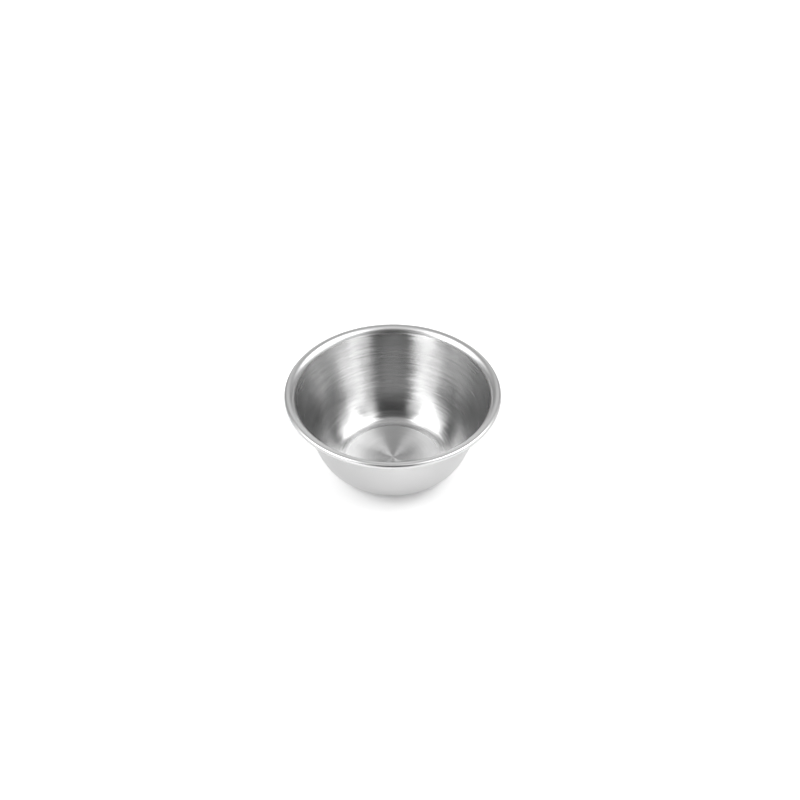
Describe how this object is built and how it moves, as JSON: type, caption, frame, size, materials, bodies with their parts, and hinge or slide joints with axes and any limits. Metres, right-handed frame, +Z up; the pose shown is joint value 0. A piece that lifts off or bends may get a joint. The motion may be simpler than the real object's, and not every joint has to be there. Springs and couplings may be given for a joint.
{
  "type": "shaving bowl",
  "caption": "Small flared steel bowl with a curled, wire-cored rim and a flat base, for working up shaving lather with a brush.",
  "frame": {"origin": "centre of the flat face that the bowl rests on", "axes": "+Z up along the bowl's axis, out of its mouth; +X and +Y are any two square directions, because the bowl is round"},
  "size_m": [0.11, 0.11, 0.0463],
  "materials": {
    "shell_steel": "brushed inside, satin rim and outside",
    "wire_steel": "plain drawn wire"
  },
  "bodies": {
    "root": {"bowl_shell": "shell_steel", "rim_wire": "wire_steel"}
  },
  "joints": []
}
